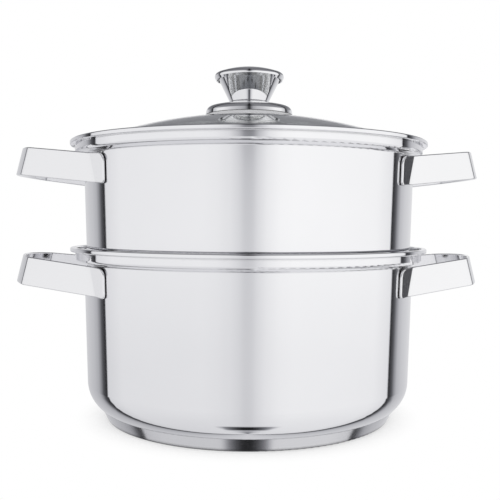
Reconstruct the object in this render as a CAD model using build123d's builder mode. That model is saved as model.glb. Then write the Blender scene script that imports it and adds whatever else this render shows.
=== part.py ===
from build123d import *
from math import asin, cos, radians, sin, sqrt, tan
import os

# A two-tier steel steamer: a pot with a thick sandwich base, a steamer tier that nests in the
# pot's rim, and a domed glass lid that nests in the tier's rim. Lengths are in millimetres.
# The origin is on the table under the middle of the base, Z is up and the handles lie along X.

os.makedirs("parts", exist_ok=True)

# Sheet and running clearances
vessel_sheet = 0.8
seat_gap = 0.3
overrun = 4.0

# Rim shared by the pot and the tier
neck_radius = 121.5
draft_angle = 1.6
rim_step = 6.3
rim_step_rise = 1.9
neck_bend = 0.9
shoulder_bend = 2.2
lip_height = 3.1
lip_reach = 3.5
lip_round_share = 0.28

# Pot
pot_height = 125.0
pot_rim_height = 11.2
knuckle_radius = 23.0

# Sandwich base under the pot
base_thickness = 5.0
base_side_height = 11.0
base_inset = 16.7
base_side_angle = 26.0
base_corner = 1.6
base_cap_sheet = 0.6

# Steamer tier
tier_rise = 76.2
tier_rim_height = 10.7
nest_gap = 2.2
nest_depth = 14.7
nest_corner = 6.0
seat_bead_gap = 2.0
seat_bead_height = 5.5
seat_bead_bend = 1.5
steam_hole_radius = 4.0
steam_margin = 18.5
steam_rings = 5
first_ring_holes = 6

# Strap handles, the same on both vessels
strap_thickness = 2.0
strap_height = 20.0
strap_edge_round = 0.8
pot_strap_gap = 0.8
tier_strap_gap = 1.3
strap_slope = 6.4
strap_lean = 14.0
root_angle = 31.0
tab_end_angle = 36.5
tab_lift_angle = 3.8
tab_gap = 0.1
corner_reach = 35.0
corner_y = 38.0
grip_bow = 10.7
strap_corner_radius = 9.0
strap_root_bend = 8.0
tab_top_round = 6.0
tab_low_round = 3.0
leg_inset_share = 0.25

# Lid
ring_sheet = 0.8
ring_side_gap = 0.6
ring_height = 8.6
ring_width = 8.9
ring_top_land = 4.0
ring_bend = 1.6
glass_edge_round = 1.0
glass_edge_gap = 2.9
glass_sphere_radius = 320.0
glass_thickness = 3.6
knob_hole_gap = 1.2
vent_radius = 55.0
vent_hole_radius = 3.0
vent_flange_radius = 5.5
vent_sheet = 0.5
vent_gap = 0.1

# Knob and its screw
knob_sheet = 0.8
gasket_inset = 0.4
gasket_thickness = 0.8
spacer_radius = 11.0
skirt_radius = 32.6
skirt_height = 9.8
skirt_shoulder_inset = 0.8
skirt_shoulder_drop = 4.2
skirt_land_inset = 0.2
skirt_round_share = 0.8
skirt_crease = 2.0
knob_height = 25.7
cone_bottom_radius = 14.4
cone_angle = 26.6
cone_inner_bend = 0.2
cap_overhang = 2.5
cap_seam_gap = 0.5
cap_crown_rise = 5.4
cap_edge_height = 4.2
cap_taper = 25.0
cap_round_share = 0.64
insert_radius = 5.5
insert_length = 8.0
thread_radius = 2.5
thread_clearance = 0.05
washer_radius = 9.0
washer_thickness = 1.0
under_gasket_radius = 10.0
under_gasket_thickness = 1.5
screw_head_radius = 4.8
screw_head_height = 2.8
screw_head_round = 1.0
screw_hole_gap = 0.3
screw_end_gap = 1.0
recess_width = 1.2
recess_length = 5.2
recess_depth = 1.6

# Heights and radii worked out from the sizes above
draft = tan(radians(draft_angle))
band_radius = neck_radius + rim_step
band_inner_radius = band_radius - vessel_sheet
lip_radius = band_radius + lip_reach
lip_round = lip_round_share * lip_height
base_bottom_radius = neck_radius - base_inset
nest_radius = neck_radius - vessel_sheet - nest_gap
seat_bead_radius = band_inner_radius - seat_bead_gap
steam_ring_pitch = (nest_radius - nest_corner - steam_hole_radius - steam_margin) / steam_rings
corner_x = neck_radius + corner_reach
grip_x = corner_x + grip_bow
ring_radius = band_inner_radius - ring_side_gap
ring_inner_radius = ring_radius - ring_width
glass_edge_radius = ring_radius - glass_edge_gap
pot_neck_z = pot_height - pot_rim_height
pot_shoulder_z = pot_neck_z + rim_step_rise
tier_top_z = pot_height + tier_rise
tier_neck_z = tier_top_z - tier_rim_height
tier_shoulder_z = tier_neck_z + rim_step_rise


def ledge_z(neck_z, radius):
    """Height of the sloped ledge inside a rim at a radius."""
    slope = rim_step_rise / rim_step
    return neck_z + vessel_sheet * sqrt(1 + slope**2) + slope * (radius - neck_radius)


tier_seat_z = ledge_z(pot_neck_z, seat_bead_radius) + seat_gap
tier_floor_z = tier_seat_z - nest_depth
seat_bead_top_z = tier_seat_z + seat_bead_height
ring_bottom_z = ledge_z(tier_neck_z, ring_radius) + seat_gap


def wall_radius(height, neck_z):
    """Outside radius of a drafted wall at a height under its neck."""
    return neck_radius - (neck_z - height) * draft


def sphere_drop(sphere_radius, radius):
    """How far a sphere falls away from its top at a radius from its axis."""
    return sphere_radius - sqrt(sphere_radius**2 - radius**2)


def glass_surface(radius):
    """Height of the glass's upper face at a radius from the axis."""
    return glass_top_z - sphere_drop(glass_sphere_radius, radius)


def crown_radius(low_radius, high_radius, rise):
    """Radius of a sphere on the axis that climbs by a rise from one radius to a smaller one."""
    above_centre = (low_radius**2 - high_radius**2 + rise**2) / (2 * rise)
    return sqrt(high_radius**2 + above_centre**2)


def crown_arc(top_z, sphere_radius, start_radius, end_radius):
    """Part of a sphere's outline, given the height of the sphere's top."""
    radii = (start_radius, (start_radius + end_radius) / 2, end_radius)
    return ThreePointArc(*[(r, top_z - sphere_drop(sphere_radius, r)) for r in radii])


glass_underside_radius = glass_sphere_radius - glass_thickness
glass_underside_z = ring_bottom_z + ring_sheet + sphere_drop(glass_underside_radius, glass_edge_radius)
glass_top_z = glass_underside_z + glass_thickness
gasket_top_z = glass_top_z + gasket_thickness
skirt_top_z = gasket_top_z + skirt_height
skirt_shoulder_z = skirt_top_z - skirt_shoulder_drop
cap_top_z = skirt_top_z + knob_height
cap_edge_z = cap_top_z - cap_crown_rise
cap_bottom_z = cap_edge_z - cap_edge_height
cone_top_z = cap_edge_z - cap_seam_gap
cone_top_radius = cone_bottom_radius + (cone_top_z - skirt_top_z) * tan(radians(cone_angle))
cap_radius = cone_top_radius + cap_overhang
cap_rim_radius = cap_radius - cap_edge_height * tan(radians(cap_taper))
insert_top_z = skirt_top_z + knob_sheet + insert_length
washer_top_z = glass_underside_z - under_gasket_thickness
washer_bottom_z = washer_top_z - washer_thickness
screw_hole_radius = thread_radius + screw_hole_gap
knob_hole_radius = screw_hole_radius + knob_hole_gap
gasket_radius = skirt_radius - gasket_inset


def add_lip(lip_top_z):
    """The flattened rolled lip, added to a vessel's half section."""
    lip_width = lip_reach + vessel_sheet
    with Locations((lip_radius - lip_width / 2, lip_top_z - lip_height / 2)):
        RectangleRounded(lip_width, lip_height, lip_round)


# Pot body
with BuildPart() as pot_body:
    with BuildSketch(Plane.XZ):
        with BuildLine():
            pot_outside = FilletPolyline(
                (0, base_thickness),
                (wall_radius(base_thickness, pot_neck_z), base_thickness),
                (neck_radius, pot_neck_z),
                (band_radius, pot_shoulder_z),
                (band_radius, pot_height - lip_height / 2),
                radius=[knuckle_radius, neck_bend, shoulder_bend],
            )
            offset(pot_outside, amount=vessel_sheet, side=Side.LEFT)
        make_face()
        add_lip(pot_height)
    revolve(axis=Axis.Z)
pot_body.part.label = "pot_body"
export_step(pot_body.part, "parts/pot_body.step")

# Space that the pot fills, used to trim what is fixed to it from outside
with BuildPart() as pot_space:
    with BuildSketch(Plane.XZ):
        with BuildLine():
            FilletPolyline(
                (0, base_thickness),
                (wall_radius(base_thickness, pot_neck_z), base_thickness),
                (neck_radius, pot_neck_z),
                radius=knuckle_radius,
            )
            Polyline((neck_radius, pot_neck_z), (0, pot_neck_z), (0, base_thickness))
        make_face()
    revolve(axis=Axis.Z)

# Sandwich base: an aluminium disc sealed in a steel cap
base_side_reach = base_side_height * tan(radians(base_side_angle))
base_outline = [
    (0, 0),
    (base_bottom_radius, 0),
    (base_bottom_radius + base_side_reach, base_side_height),
]
with BuildPart() as pot_base_cap:
    with BuildSketch(Plane.XZ):
        with BuildLine():
            base_outside = FilletPolyline(*base_outline, radius=base_corner)
            offset(base_outside, amount=base_cap_sheet, side=Side.LEFT)
        make_face()
    revolve(axis=Axis.Z)
    add(pot_space.part, mode=Mode.SUBTRACT)
pot_base_cap.part.label = "pot_base_cap"
export_step(pot_base_cap.part, "parts/pot_base_cap.step")

with BuildPart() as pot_base_core:
    with BuildSketch(Plane.XZ):
        with BuildLine():
            FilletPolyline(*base_outline, radius=base_corner)
            Polyline(base_outline[-1], (0, base_side_height), (0, 0))
        make_face()
    revolve(axis=Axis.Z)
    add(pot_space.part, mode=Mode.SUBTRACT)
    add(pot_base_cap.part, mode=Mode.SUBTRACT)
pot_base_core.part.label = "pot_base_core"
export_step(pot_base_core.part, "parts/pot_base_core.step")

# Steamer tier: nest, seat bead, drafted wall and rim drawn from one sheet, with a pierced floor
with BuildPart() as steamer_body:
    with BuildSketch(Plane.XZ):
        with BuildLine():
            tier_outside = FilletPolyline(
                (0, tier_floor_z),
                (nest_radius, tier_floor_z),
                (nest_radius, tier_seat_z),
                (seat_bead_radius, tier_seat_z),
                (seat_bead_radius, seat_bead_top_z),
                (wall_radius(seat_bead_top_z, tier_neck_z), seat_bead_top_z),
                (neck_radius, tier_neck_z),
                (band_radius, tier_shoulder_z),
                (band_radius, tier_top_z - lip_height / 2),
                radius=[
                    nest_corner,
                    neck_bend,
                    seat_bead_bend,
                    seat_bead_bend,
                    neck_bend,
                    neck_bend,
                    shoulder_bend,
                ],
            )
            offset(tier_outside, amount=vessel_sheet, side=Side.LEFT)
        make_face()
        add_lip(tier_top_z)
    revolve(axis=Axis.Z)
    with BuildSketch(Plane.XY.offset(tier_floor_z - overrun)):
        Circle(steam_hole_radius)
        for ring in range(1, steam_rings + 1):
            with PolarLocations(ring * steam_ring_pitch, ring * first_ring_holes):
                Circle(steam_hole_radius)
    extrude(amount=vessel_sheet + 2 * overrun, mode=Mode.SUBTRACT)
steamer_body.part.label = "steamer_body"
export_step(steamer_body.part, "parts/steamer_body.step")


def strap_handle(root_z, neck_z):
    """A flat strap bent into a loop. Each tab leans on the drafted wall with its end."""
    slope = radians(strap_slope)
    lean = radians(strap_lean)
    root = radians(root_angle)
    root_radius = wall_radius(root_z, neck_z) + strap_thickness / 2
    root_x = root_radius * cos(root)
    root_y = root_radius * sin(root)
    loop_plane = Plane(
        origin=(root_x, 0, root_z),
        x_dir=(cos(slope), 0, sin(slope)),
        z_dir=(-sin(slope), 0, cos(slope)),
    )
    corner_u = (corner_x - root_x) / cos(slope)
    grip_u = (grip_x - root_x) / cos(slope)
    inner_u = -leg_inset_share * corner_u
    inner_y = root_y + leg_inset_share * (root_y - corner_y)
    up_strap = (-sin(lean), 0, cos(lean))

    tab_end = radians(tab_end_angle)
    tab_turn = radians(tab_end_angle + tab_lift_angle)
    tab_radius = wall_radius(root_z, neck_z) + tab_gap
    tab_plane = Plane(
        origin=(tab_radius * cos(tab_end), tab_radius * sin(tab_end), root_z),
        x_dir=(-sin(tab_turn), cos(tab_turn), 0),
        z_dir=(cos(tab_turn), sin(tab_turn), -draft),
    )
    leg = Vector(corner_x - root_x, corner_y - root_y).normalized()
    leg_face = Vector(root_x, root_y, root_z) + Vector(-leg.Y, leg.X) * (strap_thickness / 2)
    past_tab = strap_thickness - (leg_face - tab_plane.origin).dot(tab_plane.z_dir)
    bend_point = leg_face + leg * (past_tab / leg.dot(tab_plane.z_dir))

    with BuildPart() as tabs:
        with BuildSketch(tab_plane):
            Rectangle(2 * strap_height, 2 * strap_height, align=(Align.MAX, Align.CENTER))
        extrude(amount=strap_thickness)
        with BuildSketch(loop_plane):
            with BuildLine():
                Polyline(
                    (inner_u, inner_y),
                    (corner_u, corner_y),
                    (corner_u, 2 * inner_y),
                    (inner_u, 2 * inner_y),
                    close=True,
                )
            make_face()
        extrude(amount=strap_height / 2, dir=up_strap, both=True, mode=Mode.INTERSECT)
        end_edges = tabs.faces().sort_by(Axis.Y)[-1].edges().sort_by(Axis.Z)
        fillet(end_edges[-1], tab_top_round)
        end_edges = tabs.faces().sort_by(Axis.Y)[-1].edges().sort_by(Axis.Z)
        fillet(end_edges[0], tab_low_round)
        mirror(about=Plane.XZ)

    with BuildPart() as tab_backs:
        with BuildSketch(tab_plane):
            Rectangle(2 * strap_height, 2 * strap_height)
        extrude(amount=-strap_height)
        mirror(about=Plane.XZ)

    with BuildPart() as handle:
        with BuildSketch(loop_plane):
            with BuildLine() as centre:
                Line((inner_u, -inner_y), (corner_u, -corner_y))
                ThreePointArc((corner_u, -corner_y), (grip_u, 0), (corner_u, corner_y))
                Line((corner_u, corner_y), (inner_u, inner_y))
                fillet(centre.vertices().filter_by(lambda v: v.X > 0), strap_corner_radius)
            trace(line_width=strap_thickness)
        extrude(amount=strap_height / 2, dir=up_strap, both=True)
        add(tab_backs.part, mode=Mode.SUBTRACT)
        add(tabs.part)
        for side in (-1, 1):
            bend_place = (bend_point.X, side * bend_point.Y, root_z)
            fillet(handle.edges().sort_by_distance(bend_place)[0], strap_root_bend)
        fillet(handle.faces().filter_by(loop_plane).edges(), strap_edge_round)
    return handle


for vessel, neck_z, strap_gap in (
    ("pot", pot_neck_z, pot_strap_gap),
    ("steamer", tier_neck_z, tier_strap_gap),
):
    handle_right = strap_handle(neck_z - strap_gap - strap_height / 2, neck_z)
    handle_right.part.label = f"{vessel}_handle_right"
    export_step(handle_right.part, f"parts/{vessel}_handle_right.step")
    with BuildPart() as handle_left:
        mirror(handle_right.part, about=Plane.YZ)
    handle_left.part.label = f"{vessel}_handle_left"
    export_step(handle_left.part, f"parts/{vessel}_handle_left.step")

# Lid glass: a slice of a sphere with a hole for the knob's screw and a steam hole
vent_tilt = asin(vent_radius / glass_sphere_radius)
vent_plane = Plane(
    origin=(0, vent_radius, glass_surface(vent_radius)),
    x_dir=(1, 0, 0),
    z_dir=(0, sin(vent_tilt), cos(vent_tilt)),
)
with BuildPart() as lid_glass:
    with BuildSketch(Plane.XZ):
        with BuildLine():
            glass_upper = crown_arc(glass_top_z, glass_sphere_radius, knob_hole_radius, glass_edge_radius)
            glass_lower = crown_arc(
                glass_underside_z, glass_underside_radius, knob_hole_radius, glass_edge_radius
            )
            Line(glass_upper @ 1, glass_lower @ 1)
            Line(glass_lower @ 0, glass_upper @ 0)
        make_face()
        fillet(vertices().group_by(Axis.X)[-1], glass_edge_round)
    revolve(axis=Axis.Z)
    with BuildSketch(vent_plane):
        Circle(vent_hole_radius)
    extrude(amount=2 * glass_thickness, both=True, mode=Mode.SUBTRACT)
lid_glass.part.label = "lid_glass"
export_step(lid_glass.part, "parts/lid_glass.step")

# Lid ring: a steel strip bent round the edge of the glass
ring_top_z = ring_bottom_z + ring_height
with BuildPart() as lid_ring:
    with BuildSketch(Plane.XZ):
        with BuildLine():
            ring_outside = FilletPolyline(
                (ring_inner_radius, ring_bottom_z),
                (ring_radius, ring_bottom_z),
                (ring_radius, ring_top_z),
                (ring_radius - ring_top_land, ring_top_z),
                (ring_inner_radius, glass_surface(ring_inner_radius) + ring_sheet),
                radius=ring_bend,
            )
            offset(ring_outside, amount=ring_sheet, side=Side.LEFT)
        make_face()
    revolve(axis=Axis.Z)
    add(lid_glass.part, mode=Mode.SUBTRACT)
lid_ring.part.label = "lid_ring"
export_step(lid_ring.part, "parts/lid_ring.step")

# Eyelet of the steam hole, flanged over both faces of the glass
eyelet_top = vent_gap + vent_sheet
eyelet_length = glass_thickness + 2 * eyelet_top
lower_flange_top = eyelet_top - eyelet_length + vent_sheet
with BuildPart() as vent_eyelet:
    with BuildSketch(vent_plane.offset(eyelet_top), vent_plane.offset(lower_flange_top)):
        Circle(vent_flange_radius)
    extrude(amount=-vent_sheet)
    with BuildSketch(vent_plane.offset(eyelet_top)):
        Circle(vent_hole_radius - vent_gap)
    extrude(amount=-eyelet_length)
    with BuildSketch(vent_plane.offset(eyelet_top)):
        Circle(vent_hole_radius - vent_gap - vent_sheet)
    extrude(amount=-eyelet_length, mode=Mode.SUBTRACT)
vent_eyelet.part.label = "vent_eyelet"
export_step(vent_eyelet.part, "parts/vent_eyelet.step")


def drilled_disc(label, bottom_z, top_z, radius, hole_radius, trimmed_by=None):
    """A washer, gasket or bush on the lid's axis, trimmed where it meets the curved glass."""
    with BuildPart() as disc:
        with BuildSketch(Plane.XY.offset(bottom_z)):
            Circle(radius)
            Circle(hole_radius, mode=Mode.SUBTRACT)
        extrude(amount=top_z - bottom_z)
        if trimmed_by:
            add(trimmed_by, mode=Mode.SUBTRACT)
    disc.part.label = label
    export_step(disc.part, f"parts/{label}.step")


# Stack on the knob's screw, from the washer under the glass to the bush in the cone
drilled_disc("knob_washer", washer_bottom_z, washer_top_z, washer_radius, screw_hole_radius)
drilled_disc(
    "knob_gasket_bottom",
    washer_top_z,
    glass_underside_z,
    under_gasket_radius,
    screw_hole_radius,
    trimmed_by=lid_glass.part,
)
drilled_disc(
    "knob_gasket_top",
    glass_surface(gasket_radius) - seat_gap,
    gasket_top_z,
    gasket_radius,
    screw_hole_radius,
    trimmed_by=lid_glass.part,
)
drilled_disc("knob_spacer", gasket_top_z, skirt_top_z - knob_sheet, spacer_radius, screw_hole_radius)
drilled_disc("knob_insert", skirt_top_z + knob_sheet, insert_top_z, insert_radius, thread_radius)

# Bell-shaped skirt, standing on the gasket by its rim
skirt_land_radius = cone_bottom_radius - skirt_land_inset
skirt_round = skirt_round_share * (skirt_height - skirt_shoulder_drop)
with BuildPart() as knob_skirt:
    with BuildSketch(Plane.XZ):
        with BuildLine():
            skirt_outside = FilletPolyline(
                (screw_hole_radius, skirt_top_z),
                (skirt_land_radius, skirt_top_z),
                (skirt_radius - skirt_shoulder_inset, skirt_shoulder_z),
                (skirt_radius, gasket_top_z + seat_gap),
                radius=[skirt_crease, skirt_round],
            )
            offset(skirt_outside, amount=knob_sheet, side=Side.RIGHT)
        make_face()
    revolve(axis=Axis.Z)
knob_skirt.part.label = "knob_skirt"
export_step(knob_skirt.part, "parts/knob_skirt.step")

# Hollow cone that stands on the skirt
cone_bend = knob_sheet + cone_inner_bend
with BuildPart() as knob_cone:
    with BuildSketch(Plane.XZ):
        with BuildLine():
            cone_outside = FilletPolyline(
                (screw_hole_radius, skirt_top_z),
                (cone_bottom_radius, skirt_top_z),
                (cone_top_radius, cone_top_z),
                radius=cone_bend,
            )
            offset(cone_outside, amount=knob_sheet, side=Side.LEFT)
        make_face()
    revolve(axis=Axis.Z)
knob_cone.part.label = "knob_cone"
export_step(knob_cone.part, "parts/knob_cone.step")

# Domed cap, its tapered rim drawn down round the top of the cone
cap_crown_radius = crown_radius(cap_radius, 0, cap_crown_rise)
cap_round = cap_round_share * cap_edge_height
with BuildPart() as knob_cap:
    with BuildSketch(Plane.XZ):
        with BuildLine() as cap_line:
            cap_crown = crown_arc(cap_top_z, cap_crown_radius, 0, cap_radius)
            Line(cap_crown @ 1, (cap_rim_radius, cap_bottom_z))
            fillet(cap_line.vertices().group_by(Axis.X)[-1], cap_round)
            offset(cap_line.wire(), amount=knob_sheet, side=Side.RIGHT)
        make_face()
    revolve(axis=Axis.Z)
knob_cap.part.label = "knob_cap"
export_step(knob_cap.part, "parts/knob_cap.step")

# Cross-head screw that holds the knob from under the glass
with BuildPart() as knob_screw:
    with BuildSketch(Plane.XY.offset(washer_bottom_z - screw_head_height)):
        Circle(screw_head_radius)
    extrude(amount=screw_head_height)
    fillet(knob_screw.edges().group_by(Axis.Z)[0], screw_head_round)
    with BuildSketch(Plane.XY.offset(washer_bottom_z)):
        Circle(thread_radius - thread_clearance)
    extrude(amount=insert_top_z - screw_end_gap - washer_bottom_z)
    with BuildSketch(Plane.XY.offset(washer_bottom_z - screw_head_height)):
        Rectangle(recess_length, recess_width)
        Rectangle(recess_width, recess_length)
    extrude(amount=recess_depth, mode=Mode.SUBTRACT)
knob_screw.part.label = "knob_screw"
export_step(knob_screw.part, "parts/knob_screw.step")
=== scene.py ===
from math import atan, pi, radians

import bpy
from mathutils import Matrix, Vector

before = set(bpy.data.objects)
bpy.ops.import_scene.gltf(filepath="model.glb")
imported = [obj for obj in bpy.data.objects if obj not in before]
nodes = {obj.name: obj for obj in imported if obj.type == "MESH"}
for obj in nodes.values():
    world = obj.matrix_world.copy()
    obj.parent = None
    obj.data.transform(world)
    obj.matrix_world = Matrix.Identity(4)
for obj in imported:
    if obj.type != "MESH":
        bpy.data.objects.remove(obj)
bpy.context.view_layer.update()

# A two-tier steel steamer with a glass lid, on a white floor between two tall studio panels.
# Every shape and place comes from the frame. This script adds the finishes, the floor, the
# studio and the camera. Lengths are in metres.

MM = 0.001
WHITE = (1.0, 1.0, 1.0, 1.0)
BLACK = (0.0, 0.0, 0.0, 1.0)

# The photograph's camera, solved from the rims, the base and the outlines.
# Angles are in radians and places on the picture in its own pixels.
PHOTO_SIZE = 500
FOCAL_PIXELS = 760
AXIS_PIXEL = 248.4
CAMERA_PLACE = Vector((-29.9, -574.2, 144.7)) * MM
CAMERA_PITCH = 0.0386
CAMERA_ROLL = 0.0055
SENSOR_MM = 36.0
CLIP_START = 0.01
CLIP_END = 50.0


def make_camera():
    """A camera at the photograph's place, turned so that the pot's axis falls on its pixel."""
    data = bpy.data.cameras.new("camera")
    data.sensor_width = SENSOR_MM
    data.lens = FOCAL_PIXELS / PHOTO_SIZE * SENSOR_MM
    data.clip_start = CLIP_START
    data.clip_end = CLIP_END
    camera = bpy.data.objects.new("camera", data)
    bpy.context.scene.collection.objects.link(camera)
    to_axis = atan(-CAMERA_PLACE.x / -CAMERA_PLACE.y)
    right_of_axis = atan((PHOTO_SIZE / 2 - AXIS_PIXEL) / FOCAL_PIXELS)
    yaw = Matrix.Rotation(-(to_axis + right_of_axis), 4, "Z")
    pitch = Matrix.Rotation(pi / 2 - CAMERA_PITCH, 4, "X")
    roll = Matrix.Rotation(CAMERA_ROLL, 4, "Z")
    camera.matrix_world = Matrix.Translation(CAMERA_PLACE) @ yaw @ pitch @ roll
    bpy.context.scene.camera = camera


make_camera()


class Nodes:
    """Builds a node tree, one node per call.

    An input takes a number, a colour or another node's output.
    """

    def __init__(self, tree):
        self.tree = tree
        tree.nodes.clear()

    def add(self, kind, inputs=(), **settings):
        node = self.tree.nodes.new("ShaderNode" + kind)
        for name, value in settings.items():
            setattr(node, name, value)
        for name, value in dict(inputs).items():
            if isinstance(value, bpy.types.NodeSocket):
                self.tree.links.new(value, node.inputs[name])
            else:
                node.inputs[name].default_value = value
        return node

    def math(self, operation, first, second=0.0, third=0.0):
        inputs = {0: first, 1: second, 2: third}
        return self.add("Math", inputs, operation=operation).outputs[0]

    def mix(self, factor, first, second):
        """A blend of two numbers."""
        return self.add("Mix", {0: factor, 2: first, 3: second}).outputs[0]

    def mix_colours(self, factor, first, second):
        node = self.add("Mix", {0: factor, 6: first, 7: second}, data_type="RGBA")
        return node.outputs[2]

    def map_range(self, value, low, high, to_low=0.0, **settings):
        """Maps the range low to high onto to_low to 1."""
        limits = {"Value": value, "From Min": low, "From Max": high, "To Min": to_low}
        return self.add("MapRange", limits, **settings).outputs[0]

    def noise(self, place, scale, detail):
        inputs = {"Vector": place, "Scale": scale, "Detail": detail}
        return self.add("TexNoise", inputs).outputs[0]

    def ramp(self, value, stops):
        """A curve through (place, level) stops, with places from 0 to 1."""
        node = self.add("ValToRGB", {0: value})
        elements = node.color_ramp.elements
        while len(elements) < len(stops):
            elements.new(1.0)
        for element, (place, level) in zip(elements, stops):
            element.position = place
            element.color = (level, level, level, 1.0)
        return node.outputs[0]


# Studio, as metal sees it. Azimuths are in degrees from the camera's side, the same to the left
# and right, with 0 at the camera and 180 behind the pot.
CAMERA_AZIMUTH = -3.0
PANEL_STOPS = [
    (0, 0.93),
    (30, 1.0),
    (95, 0.97),
    (113.0, 0.86),
    (113.8, 0.02),
    (116, 0.05),
    (119.5, 0.12),
    (122.5, 0.32),
    (127, 0.55),
    (135, 0.66),
    (150, 0.74),
    (180, 0.86),
]
# The left panel is a little darker than the right one, with a blend between them
LEFT_PANEL_LEVEL = 0.9
PANEL_BLEND = 0.3
# A dark slot between the panels at the camera
SLOT_STOPS = [(0, 1.0), (2.5, 0.95), (6, 0.55), (12, 0.15), (20, 0.0)]
# Where the back of the studio takes over from the front
BACK_STOPS = [(0, 0.0), (95, 0.0), (130, 1.0), (180, 1.0)]

# Elevations are in degrees, from -90 straight down to 90 straight up.
# The panels reach higher in front than behind, and the ceiling above them is dark.
FRONT_TOP_STOPS = [
    (-90, 0.8),
    (-45, 0.85),
    (-13, 0.92),
    (-4, 1.0),
    (22, 1.0),
    (26, 0.45),
    (36, 0.26),
    (90, 0.22),
]
BACK_TOP_STOPS = [
    (-90, 0.8),
    (-45, 0.85),
    (-13, 0.92),
    (-4, 1.0),
    (13, 1.0),
    (16, 0.45),
    (30, 0.26),
    (90, 0.22),
]
SLOT_DEPTH_STOPS = [
    (-90, 0.8),
    (-66, 0.1),
    (-58, 0.1),
    (-13, 0.17),
    (-5, 0.24),
    (0, 0.3),
    (3, 0.42),
    (5.2, 0.57),
    (9, 0.9),
    (90, 0.95),
]
# The slot widens towards the floor
SLOT_NARROW_STOPS = [(-90, 0.3), (-60, 0.5), (-50, 1.0), (90, 1.0)]
# The dark foot of the camera's side: its level by azimuth, and the elevations it shows at
FOOT_STOPS = [
    (0, 0.02),
    (6.6, 0.03),
    (13, 0.09),
    (19.5, 0.2),
    (26, 0.38),
    (30.8, 0.7),
    (35.5, 1.0),
    (180, 1.0),
]
FOOT_ZONE_STOPS = [(-90, 0.0), (-75, 0.0), (-72, 1.0), (-62, 1.0), (-58, 0.0), (90, 0.0)]

# What glass lets through is never darker than this
CLEAR_LEVEL = 0.42
# The darkest parts of the studio are slightly blue
SHADE_TINT = (0.90, 0.91, 1.0, 1.0)


def by_azimuth(n, azimuth, stops):
    """A level by azimuth, where the azimuth runs from 0 to 1 for 180 degrees."""
    return n.ramp(azimuth, [(place / 180, level) for place, level in stops])


def by_elevation(n, elevation, stops):
    """A level by elevation, where the elevation runs from 0 to 1 for -90 to 90 degrees."""
    return n.ramp(elevation, [((place + 90) / 180, level) for place, level in stops])


def make_world():
    """White to the camera, and to metal a studio of two pale panels with a slot between them."""
    world = bpy.data.worlds.new("studio")
    bpy.context.scene.world = world
    world.use_nodes = True
    n = Nodes(world.node_tree)
    direction = n.add("TexCoord").outputs["Generated"]
    parts = n.add("SeparateXYZ", {0: direction}).outputs
    azimuth = n.math("ARCTAN2", parts[0], n.math("MULTIPLY", parts[1], -1.0))
    azimuth = n.math("ABSOLUTE", n.math("SUBTRACT", azimuth, radians(CAMERA_AZIMUTH)))
    azimuth = n.math("DIVIDE", azimuth, pi)
    elevation = n.math("MULTIPLY_ADD", n.math("ARCSINE", parts[2]), 1 / pi, 0.5)

    narrowed = n.math("MULTIPLY", azimuth, by_elevation(n, elevation, SLOT_NARROW_STOPS))
    slot = by_azimuth(n, narrowed, SLOT_STOPS)
    slot = n.math("MULTIPLY", slot, by_elevation(n, elevation, SLOT_DEPTH_STOPS))
    panel = by_azimuth(n, azimuth, PANEL_STOPS)
    front_top = by_elevation(n, elevation, FRONT_TOP_STOPS)
    back_top = by_elevation(n, elevation, BACK_TOP_STOPS)
    top = n.mix(by_azimuth(n, azimuth, BACK_STOPS), front_top, back_top)
    foot_zone = by_elevation(n, elevation, FOOT_ZONE_STOPS)
    foot = n.mix(foot_zone, 1.0, by_azimuth(n, azimuth, FOOT_STOPS))
    side = n.map_range(parts[0], -PANEL_BLEND, PANEL_BLEND, to_low=LEFT_PANEL_LEVEL)
    light = n.math("MULTIPLY", panel, top)
    for level in (n.math("SUBTRACT", 1.0, slot), foot, side):
        light = n.math("MULTIPLY", light, level)

    seen = n.add("LightPath").outputs
    strength = n.mix(seen["Is Transmission Ray"], 1.0, n.math("MAXIMUM", top, CLEAR_LEVEL))
    strength = n.mix(seen["Is Glossy Ray"], strength, light)
    tint = n.mix_colours(light, SHADE_TINT, WHITE)
    colour = n.mix_colours(seen["Is Glossy Ray"], WHITE, tint)
    background = n.add("Background", {"Color": colour, "Strength": strength})
    n.add("OutputWorld", {"Surface": background.outputs[0]})


make_world()

# The floor is plain white away from the pot. Near it, a share of white lifts the shadow.
FLOOR_HALF_WIDTH = 6.0
FLOOR_COLOUR = (0.97, 0.97, 0.97, 1.0)
SHADOW_LIFT = 0.45
# How far from the axis the lift starts to rise, and where the floor is plain white
SHADOW_RADII = (0.095, 0.13)


def new_material(name):
    material = bpy.data.materials.new(name)
    material.use_nodes = True
    return material, Nodes(material.node_tree)


def make_floor():
    """A white floor with the pot's soft shadow. Metal sees the studio through it."""
    mesh = bpy.data.meshes.new("floor")
    r = FLOOR_HALF_WIDTH
    mesh.from_pydata([(-r, -r, 0), (r, -r, 0), (r, r, 0), (-r, r, 0)], [], [(0, 1, 2, 3)])
    floor = bpy.data.objects.new("floor", mesh)
    bpy.context.scene.collection.objects.link(floor)
    material, n = new_material("white floor")
    place = n.add("NewGeometry").outputs["Position"]
    distance = n.add("VectorMath", {0: place}, operation="LENGTH").outputs["Value"]
    is_mirrored = n.add("LightPath").outputs["Is Glossy Ray"]
    diffuse = n.add("BsdfDiffuse", {"Color": FLOOR_COLOUR}).outputs[0]
    glow = n.add("Emission", {"Color": WHITE, "Strength": 1.0}).outputs[0]
    clear = n.add("BsdfTransparent").outputs[0]
    beyond = n.map_range(distance, *SHADOW_RADII, interpolation_type="SMOOTHSTEP")
    white = n.math("MULTIPLY_ADD", beyond, 1 - SHADOW_LIFT, SHADOW_LIFT)
    seen = n.add("MixShader", {0: white, 1: diffuse, 2: glow}).outputs[0]
    mixed = n.add("MixShader", {0: is_mirrored, 1: seen, 2: clear}).outputs[0]
    n.add("OutputMaterial", {"Surface": mixed})
    mesh.materials.append(material)


make_floor()

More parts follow.
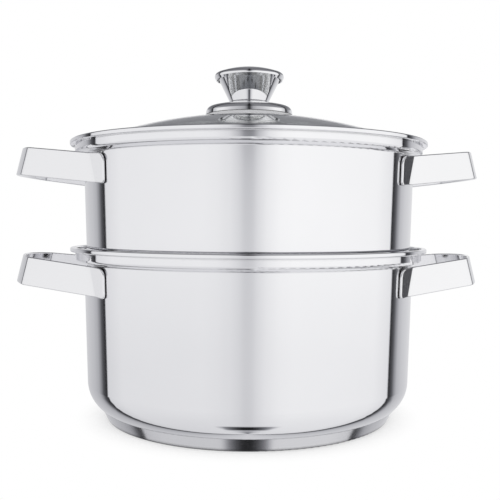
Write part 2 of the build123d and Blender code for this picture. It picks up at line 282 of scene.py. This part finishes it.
# Noise scales are per metre
CLOUD_SCALE, CLOUD_DETAIL = 28.0, 4.0
CLOUD_ROUGHNESS = 0.5    # how far the clouds change the roughness, as a share of it
CLOUD_SHADE = 0.97
WEAR_SCALE, WEAR_DETAIL = 900.0, 2.0
WEAR_BUMP = {"Strength": 0.02, "Distance": 0.00002}
# Circles left by turning, as noise across the radius and height
TURNING_SCALE, TURNING_DETAIL = 2600.0, 3.0
# Painted shade darkens metal in narrow gaps, as where rims, seams and tabs meet
CREVICE_SHADE_REACH = 0.0045
CREVICE_SHADE_SAMPLES = 8
CREVICE_SHADE_STOPS = [(0.30, 0.16), (0.62, 1.0)]


def shaded(colour, level):
    return (*(channel * level for channel in colour[:3]), 1.0)


def finish_steel(name, colour, roughness, wear, lines=0.0, painted_crevice_shade=True):
    """Steel with a cloudy polish and fine wear, which may be turned and may carry painted shade
    in its narrow gaps.

    wear is how far fine wear changes the roughness, as a share of it, and lines how much
    darker the turned circles are than the metal.
    """
    material, n = new_material(name)
    place = n.add("NewGeometry").outputs["Position"]
    cloud = n.noise(place, CLOUD_SCALE, CLOUD_DETAIL)
    fine = n.noise(place, WEAR_SCALE, WEAR_DETAIL)
    level = roughness
    for noise, share in ((cloud, CLOUD_ROUGHNESS), (fine, wear)):
        level = n.math("MULTIPLY_ADD", n.math("SUBTRACT", noise, 0.5), roughness * share, level)
    tone = n.mix_colours(cloud, colour, shaded(colour, CLOUD_SHADE))
    if lines:
        parts = n.add("SeparateXYZ", {0: place}).outputs
        flat = n.add("CombineXYZ", {0: parts[0], 1: parts[1]}).outputs[0]
        radius = n.add("VectorMath", {0: flat}, operation="LENGTH").outputs["Value"]
        across = n.math("MULTIPLY", n.math("ADD", radius, parts[2]), TURNING_SCALE)
        inputs = {"W": across, "Scale": 1.0, "Detail": TURNING_DETAIL}
        ring = n.add("TexNoise", inputs, noise_dimensions="1D").outputs[0]
        tone = n.mix_colours(ring, tone, shaded(colour, 1 - lines))
        level = n.math("MULTIPLY_ADD", ring, roughness, level)
    # Painted shade: the colour darkens towards black where ambient occlusion finds narrow gaps
    if painted_crevice_shade:
        reach = {"Distance": CREVICE_SHADE_REACH}
        openness = n.add("AmbientOcclusion", reach, samples=CREVICE_SHADE_SAMPLES).outputs["AO"]
        tone = n.mix_colours(n.ramp(openness, CREVICE_SHADE_STOPS), BLACK, tone)
    normal = n.add("Bump", {"Height": fine, **WEAR_BUMP}).outputs[0]
    inputs = {"Base Color": tone, "Metallic": 1.0, "Roughness": level, "Normal": normal}
    shader = n.add("BsdfPrincipled", inputs)
    n.add("OutputMaterial", {"Surface": shader.outputs[0]})
    return material


GLASS_COLOUR = (0.97, 0.99, 0.985, 1.0)
GLASS_IOR = 1.5
SMUDGE_SCALE, SMUDGE_DETAIL = 30.0, 3.0
SMUDGE_STOPS = [(0.45, 0.0), (0.9, 0.04)]


def finish_glass():
    """Clear glass, slightly rough where it is smudged."""
    material, n = new_material("clear glass")
    place = n.add("NewGeometry").outputs["Position"]
    smudge = n.noise(place, SMUDGE_SCALE, SMUDGE_DETAIL)
    inputs = {
        "Base Color": GLASS_COLOUR,
        "Roughness": n.ramp(smudge, SMUDGE_STOPS),
        "IOR": GLASS_IOR,
        "Transmission Weight": 1.0,
    }
    shader = n.add("BsdfPrincipled", inputs)
    n.add("OutputMaterial", {"Surface": shader.outputs[0]})
    return material


SILICONE_DARK = (0.80, 0.80, 0.82, 1.0)
SILICONE_LIGHT = (0.88, 0.88, 0.90, 1.0)
SILICONE_ROUGHNESS = 0.5
SPECK_SCALE, SPECK_DETAIL = 400.0, 3.0
SPECK_BUMP = {"Strength": 0.3, "Distance": 0.0001}


def finish_silicone():
    """Pale matt silicone with fine specks."""
    material, n = new_material("pale silicone")
    place = n.add("NewGeometry").outputs["Position"]
    speck = n.noise(place, SPECK_SCALE, SPECK_DETAIL)
    tone = n.mix_colours(speck, SILICONE_DARK, SILICONE_LIGHT)
    normal = n.add("Bump", {"Height": speck, **SPECK_BUMP}).outputs[0]
    inputs = {"Base Color": tone, "Roughness": SILICONE_ROUGHNESS, "Normal": normal}
    shader = n.add("BsdfPrincipled", inputs)
    n.add("OutputMaterial", {"Surface": shader.outputs[0]})
    return material


# The mirror steel leaves out the painted shade in narrow gaps, because its noise would speckle
# the small knob
BODY_COLOUR = (0.93, 0.93, 0.945, 1.0)
MIRROR_COLOUR = (0.93, 0.93, 0.94, 1.0)
STRAP_COLOUR = (0.94, 0.94, 0.95, 1.0)
TURNED_COLOUR = (0.93, 0.93, 0.95, 1.0)
ALUMINIUM_COLOUR = (0.80, 0.81, 0.83, 1.0)
body_steel = finish_steel("satin steel", BODY_COLOUR, roughness=0.055, wear=0.3)
bright_steel = finish_steel(
    "mirror steel", MIRROR_COLOUR, roughness=0.035, wear=0.3, painted_crevice_shade=False
)
strap_steel = finish_steel("strap steel", STRAP_COLOUR, roughness=0.09, wear=0.4)
turned_steel = finish_steel("turned steel", TURNED_COLOUR, roughness=0.07, wear=0.4, lines=0.35)
inner_metal = finish_steel(
    "turned aluminium", ALUMINIUM_COLOUR, roughness=0.3, wear=0.4, lines=0.2
)

finishes = {
    "pot_body": body_steel,
    "steamer_body": body_steel,
    "pot_base_cap": turned_steel,
    "pot_base_core": inner_metal,
    "pot_handle_left": strap_steel,
    "pot_handle_right": strap_steel,
    "steamer_handle_left": strap_steel,
    "steamer_handle_right": strap_steel,
    "lid_glass": finish_glass(),
    "lid_ring": bright_steel,
    "vent_eyelet": bright_steel,
    "knob_cap": bright_steel,
    "knob_cone": bright_steel,
    "knob_skirt": bright_steel,
    "knob_gasket_top": finish_silicone(),
    "knob_gasket_bottom": finish_silicone(),
    "knob_spacer": inner_metal,
    "knob_insert": inner_metal,
    "knob_washer": bright_steel,
    "knob_screw": bright_steel,
}
for node_name, material in finishes.items():
    slots = nodes[node_name].data.materials
    slots.clear()
    slots.append(material)

bpy.context.scene.view_settings.view_transform = "Standard"
